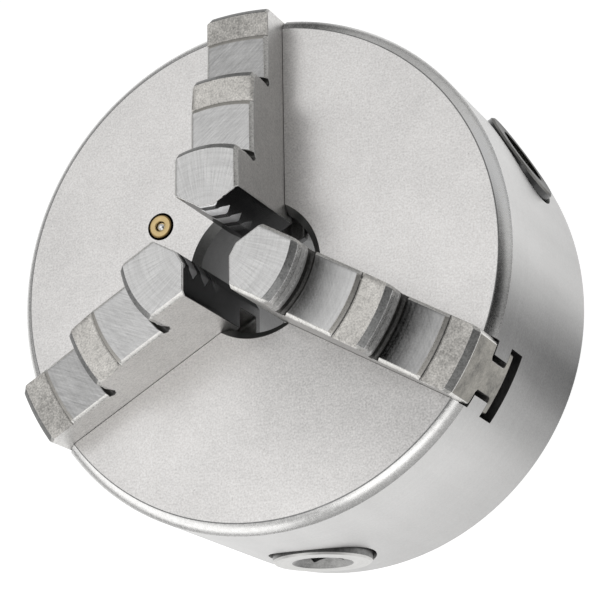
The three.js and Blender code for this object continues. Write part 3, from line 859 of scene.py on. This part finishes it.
def body_cutters():
    cutters = []
    for angle in JAW_ANGLES:
        cutters.append(move(jaw_slot(), turn(angle)))
        place = turn(angle) @ shift(STUD_CIRCLE)
        cutters.append(drilled(STUD_HOLE_RADIUS, 0, STUD_HOLE_DEPTH, place, chamfer=0.8))
    pilot = PILOT_END - PILOT_END_GAP + OVERCUT
    depth = GEAR_APEX - JOURNAL_RADIUS
    for angle in PINION_ANGLES:
        # One pinion's bore chamfer is a darker copy: painted shade.
        mouth = "oiled_mouth" if angle == SHADED_PINION else "pinion_mouth"
        place = turn(angle) @ along_pinion()
        cutters.append(move(pinion_bore(mouth), place))
        cutters.append(drilled(PILOT_RADIUS + PINION_CLEARANCE, pilot, HUB_RADIUS + OVERCUT, place))
        cutters.append(drilled(GRUB.radius + GAP, 0, depth, turn(angle) @ shift(STUD_CIRCLE), chamfer=0.5))
    depth = COVER_BACK + CAP.height + CAP.length + OVERCUT
    for index in range(CAP.count):
        cutters.append(drilled(CAP.radius + CAP_CLEARANCE, COVER_BACK + OVERCUT, depth, cap_place(index)))
    radius = OILER.radius + OILER.clearance
    seat = OILER.bottom - GAP
    duct = FACE - FRONT_WALL - OVERCUT
    chamfer = 0.1
    profile = [(0, duct), (OILER.duct, duct), (OILER.duct, seat), (radius, seat), (radius, FACE - chamfer)]
    profile += [(radius + chamfer + OVERCUT, FACE + OVERCUT), (0, FACE + OVERCUT)]
    oiler_hole = lathe("hole", profile, "pocket", TINY_ROUND)
    cutters.append(move(oiler_hole, turn(OILER_ANGLE) @ shift(OILER.circle)))
    return cutters


def make_body():
    body = combine(body_blank(), body_cutters(), "DIFFERENCE")
    return fit(soften(body), "chuck_body", "body")


# ----- jaws


def nose_radius(across):
    """Where the V nose's flank lies at a distance across the jaw."""
    return NOSE_TIP + max(0.0, abs(across) - NOSE_TIP_HALF) * FLANK_SLOPE


def step_down(radius, high, low):
    """The outer edge of a step: chamfer, ground wall with a dull band, and the relief at its foot."""
    band_top = low + 0.6 * (high - low)
    band_bottom = low + 0.33 * (high - low)
    return [
        (radius - EDGE_CHAMFER, high, "jaw_chamfer", 1, 0.4),
        (radius, high - EDGE_CHAMFER, "jaw_wall", 0, 1),
        (radius, band_top, "jaw_chamfer", 0, 1),
        (radius - 0.12, band_top - 0.15, "jaw_band", 0, 1),
        (radius - 0.12, band_bottom + 0.15, "jaw_wall", 0, 1),
        (radius, band_bottom, "jaw_band", 0, 1),
        (radius - 0.1, band_bottom - 0.8, "jaw_band", 0, 1),
        (radius - 0.15, low + 1.7, "jaw_band", 0, 0.9),
        (radius - 0.55, low + 0.55, "jaw_relief", 0, 0.5),
        (radius - 1.0, low, "jaw_relief", 0, 0.2),
        (radius - 0.7, low - 1.2, "jaw_relief", 0, 0),
        (radius, low - 1.6, "jaw_relief", 0, 0),
        (radius + 0.6, low - 1.2, "jaw_relief", 0, 0),
        (radius + 1.0, low, "jaw_ground", 1, 0),
    ]


def jaw_outline():
    """(radius, z, finish, down, in) round the stepped block.

    Down and in are how far the side chamfer lowers a point and pulls it in, as shares of the chamfer's size.
    """
    rough_one = LAND_ONE - ROUGH_DROP
    rough_two = LAND_TWO - ROUGH_DROP
    lip = 0.3

    def ground_end(radius, land):
        """The bevel from a ground land down to the cast surface, with a fine groove at its foot."""
        return [
            (radius, land, "jaw_bevel", 1, 0),
            (radius + 0.9, land - 0.6, "jaw_relief", 0.31, 0),
            (radius + 1.05, land - 0.98, "jaw_rough", 0, 0),
            (radius + 1.35, land - ROUGH_DROP, "jaw_rough", 0, 0),
        ]

    return [
        (None, JAW_SHOULDER, "jaw_flank", 0, 0),
        (None, NOSE_TOP - lip, "nose_edge", 1, 0),
        (lip, NOSE_TOP, "jaw_nose", 1, 0),
        *step_down(STEP_ONE, NOSE_TOP, LAND_ONE),
        *ground_end(GROUND_ONE, LAND_ONE),
        *step_down(STEP_TWO, rough_one, LAND_TWO),
        *ground_end(GROUND_TWO, LAND_TWO),
        (OUTER_END - END_CHAMFER, rough_two, "jaw_end_bevel", 0, 0.5),
        (OUTER_END - 0.12, rough_two - END_CHAMFER, "jaw_edge", 0, END_TAPER),
        (OUTER_END, rough_two - END_CHAMFER - 0.22, "jaw_end", 0, END_TAPER),
        (OUTER_END, JAW_SHOULDER, "jaw_side", 0, END_TAPER),
    ]


def jaw_section(across, outline, inset):
    """The outline at one distance across the jaw, chamfered by inset."""
    points = []
    for radius, z, _, down, inwards in outline:
        height = z - inset * down
        if radius is None:
            along = nose_radius(across)
        elif radius < NOSE_TIP:
            along = nose_radius(across) + radius
        else:
            reach = radius - inset * inwards
            along = math.sqrt(reach ** 2 - across ** 2)
        points.append((along, across, height))
    return points


def stations():
    """(distance, inset) across a jaw, with the nose's corners and the side chamfers among them."""
    half, steps = JAW_HALF - SIDE_CHAMFER, 24
    even = [half * (2 * i / steps - 1) for i in range(steps + 1)]
    kept = [s for s in even if abs(abs(s) - NOSE_TIP_HALF) > 0.2]
    inner = [(s, 0.0) for s in sorted(kept + [-NOSE_TIP_HALF, NOSE_TIP_HALF])]
    return [(-JAW_HALF, SIDE_CHAMFER), *inner, (JAW_HALF, SIDE_CHAMFER)]


def jaw_block(land, flank):
    """The solid part above the slot, whose lands and flanks have finishes of their own on each jaw."""
    outline = jaw_outline()
    rows = stations()
    sections = [jaw_section(across, outline, inset) for across, inset in rows]

    def look(row, column):
        finish = outline[column][2]
        on_side = row in (0, len(rows) - 2)
        edged = (
            "jaw_nose", "jaw_ground", "jaw_wall", "jaw_chamfer", "jaw_end", "jaw_bevel", "jaw_end_bevel",
        )
        if on_side and finish in edged:
            return "jaw_edge"
        return {"jaw_ground": land, "jaw_flank": flank}.get(finish, finish)

    return loft("jaw", sections, "jaw_side", look)


def jaw_foot():
    """The neck and the flange that hold the jaw down in its slot."""
    bend, root, throat = 0.6, 1.0, 0.7
    section = [
        *arc((JAW_FOOT_HALF - bend, JAW_FOOT_BOTTOM + bend), (bend, bend), -90, 0, 4),
        *arc((JAW_FOOT_HALF - bend, JAW_FOOT_TOP - bend), (bend, bend), 0, 90, 4),
        *arc((JAW_NECK_HALF + root, JAW_FOOT_TOP + root), (root, root), 270, 180, 5),
        (JAW_NECK_HALF, JAW_SHOULDER - throat),
        (JAW_NECK_HALF + throat, JAW_SHOULDER),
        (JAW_NECK_HALF + throat, JAW_SHOULDER + 0.2),
    ]
    return bar("foot", section, 0, OUTER_END + OVERCUT, "jaw_side")


def jaw_envelope():
    """What the nose and the outer end leave of the parts under the block."""
    low, high = JAW_TOOTH_BOTTOM - OVERCUT, JAW_SHOULDER + OVERCUT
    sections = []
    for across, inset in stations():
        start = nose_radius(across)
        end = math.sqrt((OUTER_END - inset * END_TAPER) ** 2 - across ** 2)
        sections.append([(x, across, z) for x, z in ((start, low), (start, high), (end, high), (end, low))])
    return loft("envelope", sections, "jaw_side", lambda row, column: "jaw_end" if column else "jaw_flank")


def jaw_tooth(middle):
    """A rack tooth, with flanks that fit the scroll's groove at every radius."""
    steps = 12
    inner, outer = [], []
    for i in range(steps + 1):
        across = JAW_FOOT_HALF * (2 * i / steps - 1)
        centre = middle + TOOTH.lean * across
        inner.append((centre - TOOTH.width / 2 - across ** 2 / (2 * TOOTH.inner), across))
        outer.append((centre + TOOTH.width / 2 - across ** 2 / (2 * TOOTH.outer), across))
    return prism("tooth", outer + inner[::-1], JAW_TOOTH_BOTTOM, JAW_FOOT_BOTTOM + TOOTH.sunk, "gear")


def make_jaw(index, degrees):
    middle = GROOVE_AT_ZERO + SCROLL_PITCH * degrees / 360
    while middle - SCROLL_PITCH > TOOTH.first:
        middle -= SCROLL_PITCH
    teeth = []
    while middle < TOOTH.last:
        teeth.append(jaw_tooth(middle))
        middle += SCROLL_PITCH
    under = combine(combine(jaw_foot(), teeth, "UNION"), [jaw_envelope()], "INTERSECT")
    # One jaw's lands get painted shade under the steps, and another jaw's flanks dimmer painted glints.
    land = "jaw_grimy" if degrees == SHADED_JAW else "jaw_ground"
    flank = "jaw_flank_faint" if degrees == DIM_GLINT_JAW else "jaw_flank"
    jaw = combine(jaw_block(land, flank), [under], "UNION")
    jaw.name = f"machined_jaw_{index}"
    soften(jaw, EDGE_BREAK)
    return fit(jaw, f"jaw_{index}", f"jaw_{index}", turn(degrees) @ shift(z=FACE))


# ----- scroll plate and pinions


def pitch(distance):
    """Height of the gears' meshing line over their apex, at a distance from the spindle axis."""
    return distance * GEAR.pinion_teeth / GEAR.scroll_teeth


def tooth_root(distance, side):
    """Height of the teeth's roots over the apex: side is 1 for the scroll and -1 for a pinion."""
    return pitch(distance) + side * GEAR.dedendum * distance / GEAR.outer


def gear_tooth(outer, widths, side, point):
    """A bevel tooth out to a distance from the spindle axis.

    The widths are those of its root and tip, and point(distance, half width, height over the apex) places a
    corner.
    """
    sections = []
    for distance in (GEAR.inner, outer):
        taper = distance / GEAR.outer
        root = tooth_root(distance, side) + side * GEAR.sunk * taper
        tip = pitch(distance) - side * GEAR.addendum * taper
        half_root, half_tip = (width * taper / 2 for width in widths)
        corners = ((half_root, root), (half_tip, tip), (-half_tip, tip), (-half_root, root))
        sections.append([point(distance, half, height) for half, height in corners])
    return loft("tooth", sections, "gear")


def spiral_ridge():
    ridge_at_zero = GROOVE_AT_ZERO + SCROLL_PITCH / 2
    first = (RIDGE.first - ridge_at_zero) / SCROLL_PITCH
    last = (RIDGE.last - ridge_at_zero) / SCROLL_PITCH
    steps = math.ceil((last - first) * RIDGE.steps)
    bottom = SCROLL.root - RIDGE.sunk
    chamfer = 0.25
    outline = [
        (-RIDGE.half, bottom), (RIDGE.half, bottom),
        (RIDGE.half, RIDGE.top - chamfer), (RIDGE.half - chamfer, RIDGE.top),
        (chamfer - RIDGE.half, RIDGE.top), (-RIDGE.half, RIDGE.top - chamfer),
    ]
    sections = []
    for i in range(steps + 1):
        turns = first + (last - first) * i / steps
        middle = ridge_at_zero + SCROLL_PITCH * turns
        spin = Matrix.Rotation(math.tau * turns, 3, "Z")
        sections.append([spin @ Vector((middle + offset, 0, z)) for offset, z in outline])
    return loft("ridge", sections, "gear")


def make_scroll():
    profile = [
        (SCROLL.bore, SCROLL.hub_bottom), (SCROLL.hub_radius, SCROLL.hub_bottom),
        (GEAR.inner - 0.6, GEAR_APEX + tooth_root(GEAR.inner, 1)),
        (GEAR.outer, GEAR_APEX + tooth_root(GEAR.outer, 1)), (GEAR.outer + 0.6, SCROLL.rim_bottom),
        (SCROLL.radius, SCROLL.rim_bottom), (SCROLL.radius, SCROLL.root), (SCROLL.bore, SCROLL.root),
    ]
    plate = lathe("machined_scroll_plate", profile, "gear", 192, closed=True)
    spacing = 360 / GEAR.scroll_teeth
    teeth = []
    for i in range(GEAR.scroll_teeth):
        tooth = gear_tooth(GEAR.outer - GAP, SCROLL_TOOTH, 1, lambda x, y, z: (x, y, GEAR_APEX + z))
        teeth.append(move(tooth, turn((i + 0.5) * spacing)))
    plate = combine(plate, [spiral_ridge(), *teeth], "UNION")
    return fit(soften(plate), "scroll", "scroll_plate")


def rounded_square(half, bend, steps):
    """A square with rounded corners, as (x, y) points."""
    outline = []
    for quarter in range(4):
        spin = Matrix.Rotation(math.radians(90 * quarter), 2)
        for x, y in arc((half - bend, half - bend), (bend, bend), 0, 90, steps):
            outline.append(tuple(spin @ Vector((x, y))))
    return outline


def make_pinion(index, degrees):
    groove = PINION_GROOVE
    lip = 0.25
    # One pinion gets darker copies of its finishes: painted shade.
    in_shade = degrees == SHADED_PINION
    front = "oiled_pinion" if in_shade else "pinion"
    bowl = "oiled_countersink" if in_shade else "countersink"
    profile = [
        (0, PILOT_END),
        (PILOT_RADIUS - PILOT_CHAMFER, PILOT_END),
        (PILOT_RADIUS, PILOT_END + PILOT_CHAMFER),
        (PILOT_RADIUS, BOSS_END),
        (BOSS_RADIUS, BOSS_END),
        (BOSS_RADIUS, GEAR.inner),
        (tooth_root(GEAR.inner, -1), GEAR.inner),
        (tooth_root(GEAR.outer, -1), GEAR.outer),
        (JOURNAL_RADIUS - JOURNAL_CHAMFER, GEAR.outer),
        (JOURNAL_RADIUS, JOURNAL_START),
        (JOURNAL_RADIUS, groove.at - groove.half),
        (groove.radius, groove.at - groove.half),
        (groove.radius, groove.at + groove.half),
        (JOURNAL_RADIUS, groove.at + groove.half, "journal" if in_shade else "clean_journal"),
        (JOURNAL_RADIUS, JOURNAL_FACE - JOURNAL_CHAMFER, front),
        (JOURNAL_RADIUS - JOURNAL_CHAMFER, JOURNAL_FACE, front),
        (0, JOURNAL_FACE),
    ]
    pinion = lathe(f"machined_pinion_{index}", profile, "gear", SMALL_ROUND)
    teeth = []
    for i in range(GEAR.pinion_teeth):
        tooth = gear_tooth(GEAR.outer + 0.2, PINION_TOOTH, -1, lambda z, y, x: (x, y, z))
        teeth.append(move(tooth, turn(i * 360 / GEAR.pinion_teeth)))
    combine(pinion, teeth, "UNION")
    square = rounded_square(SQUARE / 2, 0.5, 4)
    socket = prism("socket", square, JOURNAL_FACE - SOCKET_DEPTH, JOURNAL_FACE + OVERCUT, "socket")
    mouth = [
        (0, JOURNAL_FACE - COUNTERSINK_DEPTH), (SQUARE / 2, JOURNAL_FACE - COUNTERSINK_DEPTH),
        (COUNTERSINK, JOURNAL_FACE), (COUNTERSINK + lip, JOURNAL_FACE + lip / 2),
        (COUNTERSINK + lip, JOURNAL_FACE + OVERCUT), (0, JOURNAL_FACE + OVERCUT),
    ]
    combine(pinion, [socket, lathe("mouth", mouth, bowl, SMALL_ROUND)], "DIFFERENCE")
    soften(pinion)
    place = turn(degrees) @ along_pinion()
    return fit(pinion, f"pinion_{index}", f"pinion_{index}", place)


# ----- cover, screws and oiler


def make_cover():
    chamfer, rim_chamfer = 0.3, 0.4
    profile = [
        (BORE_RADIUS + chamfer, COVER_BACK), (COVER_RADIUS - rim_chamfer, COVER_BACK),
        (COVER_RADIUS, COVER_BACK + rim_chamfer), (COVER_RADIUS, COVER_FRONT),
        (BORE_RADIUS, COVER_FRONT), (BORE_RADIUS, COVER_BACK + chamfer),
    ]
    cover = lathe("machined_back_cover", profile, "cover", closed=True)
    holes = []
    seat = COVER_BACK + CAP.height + GAP
    room = CAP.head + CAP_CLEARANCE
    shank = CAP.radius + CAP_CLEARANCE
    counterbore = [
        (0, COVER_BACK - OVERCUT), (room + chamfer + OVERCUT, COVER_BACK - OVERCUT),
        (room, COVER_BACK + chamfer), (room, seat), (0, seat),
    ]
    for index in range(CAP.count):
        holes.append(move(lathe("hole", counterbore, "pocket", TINY_ROUND), cap_place(index)))
        holes.append(drilled(shank, COVER_BACK + OVERCUT, COVER_FRONT + OVERCUT, cap_place(index)))
    combine(cover, holes, "DIFFERENCE")
    return fit(soften(cover), "chuck_body", "back_cover")


def make_cap_screw(index):
    bottom = COVER_BACK + CAP.sunk
    seat = COVER_BACK + CAP.height
    end = seat + CAP.length
    knurl, flutes = 0.09, 32
    crown, foot, point = 0.35, 0.2, 0.5
    sections = []
    for z, reach in ((bottom, -crown), (bottom + crown, 0), (seat - foot, 0), (seat, -foot)):
        ring = []
        for i in range(flutes * 4):
            angle = math.tau * i / (flutes * 4)
            radius = CAP.head + reach + knurl * (math.cos(angle * flutes) - 1)
            ring.append((*polar(radius, angle), z))
        sections.append(ring)
    head = loft(f"machined_cover_screw_{index}", sections, "screw")
    shank = [
        (0, seat - OVERCUT / 2), (CAP.radius, seat - OVERCUT / 2), (CAP.radius, end - point),
        (CAP.radius - point, end), (0, end),
    ]
    combine(head, [lathe("shank", shank, "screw", TINY_ROUND)], "UNION")
    radius = CAP_HEX.across_flats / math.sqrt(3)
    corners = [polar(radius, math.tau * i / 6) for i in range(6)]
    hexagon = prism("hex", corners, bottom - OVERCUT, bottom + CAP_HEX.depth, "screw")
    combine(head, [hexagon], "DIFFERENCE")
    soften(head)
    return fit(head, "chuck_body", f"cover_screw_{index}", cap_place(index - 1))


def make_grub_screw(index, degrees):
    bottom, shoulder = GRUB.bottom, GRUB.shoulder
    thread, depth = 1.0, 0.35
    profile = [(0, bottom), (GRUB.radius - 0.5, bottom), (GRUB.radius - 0.1, bottom + 0.5)]
    z = bottom + 0.8
    while z + thread < shoulder:
        profile += [(GRUB.radius, z), (GRUB.radius - depth, z + thread / 2)]
        z += thread
    profile += [
        (GRUB.radius - 0.1, z), (GRUB.radius - 0.4, shoulder), (GRUB.dog, shoulder),
        (GRUB.dog, GRUB.tip - 0.3), (GRUB.dog - 0.3, GRUB.tip), (0, GRUB.tip),
    ]
    screw = lathe(f"machined_pinion_screw_{index}", profile, "screw", TINY_ROUND)
    reach = GRUB.radius + OVERCUT
    section = [(GRUB.slot_half, bottom - OVERCUT), (GRUB.slot_half, bottom + GRUB.slot_depth)]
    combine(screw, [bar("slot", section, -reach, reach, "screw")], "DIFFERENCE")
    soften(screw)
    place = turn(degrees) @ shift(STUD_CIRCLE)
    return fit(screw, "chuck_body", f"pinion_retaining_screw_{index}", place)


def make_oiler():
    top, bottom = OILER.top + OILER.proud, OILER.bottom
    place = turn(OILER_ANGLE) @ shift(OILER.circle)
    bevel = 0.35
    crown = arc((OILER.radius - bevel, top - bevel), (bevel, bevel), 0, 90, 6)
    round_in = 0.2
    lip = arc((OILER.mouth + round_in, top - round_in), (round_in, round_in), 90, 180, 4)
    profile = [
        (OILER.outlet, bottom),
        (OILER.radius - 0.2, bottom),
        (OILER.radius, bottom + 0.2, "brass_edge"),
        *[(*point, "brass_edge") for point in crown[:-1]],
        crown[-1],
        *lip,
        (OILER.mouth, top - OILER.lip),
        (OILER.chamber, top - OILER.lip - OILER.throat),
        (OILER.chamber, bottom + OILER.floor),
        (OILER.outlet, bottom + OILER.floor),
    ]
    cup = soften(lathe("machined_oiler_body", profile, "brass", TINY_ROUND, closed=True))
    fit(cup, "chuck_body", "oiler_body", place)
    middle = top - BALL_DEPTH
    outline = arc((0, middle), (BALL_RADIUS, BALL_RADIUS), -90, 90, 24)
    outline[0], outline[-1] = (0, middle - BALL_RADIUS), (0, middle + BALL_RADIUS)
    ball = soften(lathe("polished_oiler_ball", outline, "ball", TINY_ROUND))
    fit(ball, "oiler_ball", "oiler_ball", place)
    low = bottom + OILER.floor + SPRING.wire + SPRING.end_gap
    high = middle - BALL_RADIUS - SPRING.wire + SPRING.squeeze
    steps, sides = SPRING.turns * 36, 12
    wire = [polar(SPRING.wire, math.tau * i / sides) for i in range(sides)]
    sections = []
    for i in range(steps + 1):
        spin = Matrix.Rotation(math.tau * SPRING.turns * i / steps, 3, "Z")
        height = low + (high - low) * i / steps
        sections.append([spin @ Vector((SPRING.coil + x, 0, z + height)) for x, z in wire])
    spring = soften(loft("wound_oiler_spring", sections, "spring"))
    fit(spring, "chuck_body", "oiler_spring", place)
    height = high - low + 2 * SPRING.wire
    shut = (height - BALL_TRAVEL - SPRING.slack) / height
    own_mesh(spring)


# ----- stage, light and camera


def make_floor():
    """A pale table that glows, most of all close to the chuck."""
    mesh = bpy.data.meshes.new("floor")
    half = 3.0
    corners = [(x * half, y * half, 0) for x, y in ((-1, -1), (1, -1), (1, 1), (-1, 1))]
    mesh.from_pydata(corners, [], [(0, 1, 2, 3)])
    floor = add("floor", mesh)
    floor.location.z = cad_low.z - FLOOR_GAP
    material = bpy.data.materials.new("pale_floor")
    material.use_nodes = True
    tree = material.node_tree
    place = node(tree, "ShaderNodeTexCoord", output="Object")
    away = node(tree, "ShaderNodeVectorMath", {0: place}, output="Value", operation="LENGTH")
    fill(tree, {
        "Base Color": (0.35, 0.35, 0.35, 1),
        "Roughness": 0.9,
        "Specular IOR Level": 0.1,
        "Emission Color": (1, 1, 1, 1),
        "Emission Strength": away.ramp(0.12, 0.32, 0.92, 0.1),
    })
    mesh.materials.append(material)


def direction(azimuth, elevation):
    """From the object towards an azimuth, where 0 is -Y and 90 is +X, and an elevation."""
    a, e = math.radians(azimuth), math.radians(elevation)
    return Vector((math.sin(a) * math.cos(e), -math.cos(a) * math.cos(e), math.sin(e)))


def softbox(name, azimuth, elevation, distance, size, power):
    """A rectangular lamp that points at the middle of the front face."""
    light = bpy.data.lights.new(name, "AREA")
    light.shape = "RECTANGLE"
    light.size, light.size_y = size
    light.energy = power
    made = add(name, light)
    towards = direction(azimuth, elevation)
    made.location = Vector((0, 0, FACE * MM)) + towards * distance
    made.rotation_euler = towards.to_track_quat("Z", "Y").to_euler()


def make_light():
    """Four softboxes in a white room, with a dark screen that the side of the chuck reflects."""
    softbox("overhead", 248, 66, 0.9, (0.66, 0.66), 0.64)
    softbox("front", 7, 61, 0.9, (0.5, 0.5), 0.45)
    softbox("low_front", 32, 38, 0.8, (0.8, 0.26), 0.80)
    softbox("low_left", 314, 14, 0.8, (1.0, 0.4), 1.2)
    world = bpy.data.worlds.new("studio")
    world.use_nodes = True
    tree = world.node_tree
    place = node(tree, "ShaderNodeTexCoord", output="Generated")
    between = {0: place, 1: direction(82, 52)}
    facing = node(tree, "ShaderNodeVectorMath", between, output="Value", operation="DOT_PRODUCT")
    background = tree.nodes["Background"].inputs
    feed(tree, background["Strength"], facing.ramp(0.78, 0.96, 0.5, 0.03))
    feed(tree, background["Color"], (1, 1, 1, 1))
    bpy.context.scene.world = world


def make_camera():
    """A long lens that looks down at the front face from the right."""
    azimuth, elevation, roll, distance = 52.65, 61.28, -57.17, 0.5111
    target = Vector((11.5, -9.15, FACE)) * MM
    camera = add("camera", bpy.data.cameras.new("camera"))
    back = direction(azimuth, elevation)
    camera.location = target + back * distance
    facing = (-back).to_track_quat("-Z", "Y").to_matrix().to_4x4()
    camera.rotation_euler = (facing @ turn(roll)).to_euler()
    camera.data.lens = 133.32
    camera.data.sensor_width = 36
    camera.data.clip_start = 0.01
    bpy.context.scene.camera = camera


make_body()
for number, angle_of_jaw in enumerate(JAW_ANGLES, 1):
    make_jaw(number, angle_of_jaw)
make_scroll()
make_cover()
for number, angle_of_pinion in enumerate(PINION_ANGLES, 1):
    make_pinion(number, angle_of_pinion)
    make_grub_screw(number, angle_of_pinion)
for number in range(1, CAP.count + 1):
    make_cap_screw(number)
make_oiler()
make_floor()
make_light()
make_camera()
bpy.context.scene.view_settings.view_transform = "Standard"
